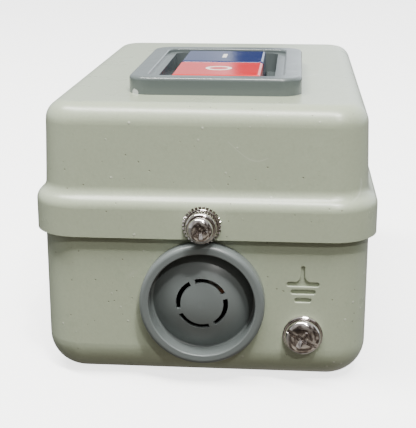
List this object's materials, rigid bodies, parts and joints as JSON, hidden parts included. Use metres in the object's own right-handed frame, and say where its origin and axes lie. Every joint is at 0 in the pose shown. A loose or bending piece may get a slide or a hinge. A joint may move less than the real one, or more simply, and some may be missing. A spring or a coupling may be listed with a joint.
{
  "type": "motor protection breaker",
  "caption": "Surface-mounting thermal motor breaker: flanged pressed-steel box with rubber cable entries, OFF and ON push-buttons in a raised bezel, and earth screw.",
  "frame": {"origin": "on the underside of the base, at the middle of the footprint", "axes": "+Z out of the mounting surface, +Y along the box away from the earth-screw end, +X to the right when the earth-screw end is faced"},
  "size_m": [0.086, 0.142, 0.075],
  "materials": {
    "painted_steel": "semi-gloss stoved paint",
    "grey_plastic": "semi-gloss moulded",
    "red_plastic": "gloss moulded",
    "blue_plastic": "gloss moulded",
    "white_plastic": "gloss inlay",
    "grey_rubber": "satin moulded",
    "nickel_steel": "bright nickel plate",
    "zinc_steel": "bright zinc plate",
    "phenolic": "moulded phenolic",
    "dark_plastic": "moulded",
    "carrier_plastic": "glass-filled moulding",
    "copper": "rolled copper",
    "silver_contact": "silver alloy",
    "bimetal": "rolled strip",
    "heater_wire": "oxidised wire",
    "spring_steel": "zinc-plated wire",
    "dial_plastic": "moulded"
  },
  "bodies": {
    "enclosure": {"base_box": "painted_steel", "cable_grommet_front": "grey_rubber", "cable_grommet_back": "grey_rubber", "cover_nuts": "zinc_steel", "cover_screws": "nickel_steel", "cover_screw_sleeves": "nickel_steel", "cover_lock_washers": "nickel_steel", "earth_washer": "nickel_steel", "earth_screw": "nickel_steel", "earth_nut": "zinc_steel", "mounting_bracket": "zinc_steel", "mechanism_base": "phenolic", "mechanism_screws": "zinc_steel", "mechanism_housing": "phenolic", "button_guide": "dark_plastic", "mechanism_shelf": "zinc_steel", "line_terminals": "copper", "contact_strips": "copper", "load_terminals": "copper", "fixed_contact_tips": "silver_contact", "line_terminal_screws": "zinc_steel", "load_terminal_screws": "zinc_steel", "terminal_clamps": "zinc_steel", "bimetal_strips": "bimetal", "heater_windings": "heater_wire", "carrier_springs": "spring_steel", "off_spring": "spring_steel", "on_spring": "spring_steel"},
    "cover": {"cover": "painted_steel", "button_bezel": "grey_plastic", "bezel_retainer": "zinc_steel", "bezel_screws": "zinc_steel"},
    "off_button": {"off_button": "red_plastic", "off_symbol": "white_plastic"},
    "on_button": {"on_button": "blue_plastic", "on_symbol": "white_plastic"},
    "contact_carrier": {"contact_carrier": "carrier_plastic", "moving_contacts": "copper", "moving_contact_tips": "silver_contact", "contact_springs": "spring_steel"},
    "trip_slide": {"trip_slide": "carrier_plastic"},
    "current_dial": {"current_dial": "dial_plastic"}
  },
  "joints": [
    {"name": "cover_lift", "type": "slide", "parent": "enclosure", "child": "cover", "axis": [0, 0, 1], "range_m": [0, 0.085]},
    {"name": "off_press", "type": "slide", "parent": "enclosure", "child": "off_button", "axis": [0, 0, -1], "range_m": [0, 0.0035], "stiffness_N_per_m": 400, "springref_m": -0.003, "deforming": ["off_spring"]},
    {"name": "on_press", "type": "slide", "parent": "enclosure", "child": "on_button", "axis": [0, 0, -1], "range_m": [0, 0.0035], "stiffness_N_per_m": 600, "springref_m": -0.003, "deforming": ["on_spring"]},
    {"name": "carrier_slide", "type": "slide", "parent": "enclosure", "child": "contact_carrier", "axis": [0, 0, -1], "range_m": [0, 0.0035], "deforming": ["carrier_springs"]},
    {"name": "trip_slide_move", "type": "slide", "parent": "enclosure", "child": "trip_slide", "axis": [0, -1, 0], "range_m": [0, 0.00245]},
    {"name": "dial_turn", "type": "hinge", "parent": "enclosure", "child": "current_dial", "pos_m": [0.0015, 0.02, 0.055], "axis": [0, 0, 1], "range_deg": [-135, 135]}
  ],
  "couplings": [
    {"joint": "carrier_slide", "follows": "on_press", "ratio": 1},
    {"joint": "trip_slide_move", "follows": "off_press", "ratio": 0.7}
  ]
}
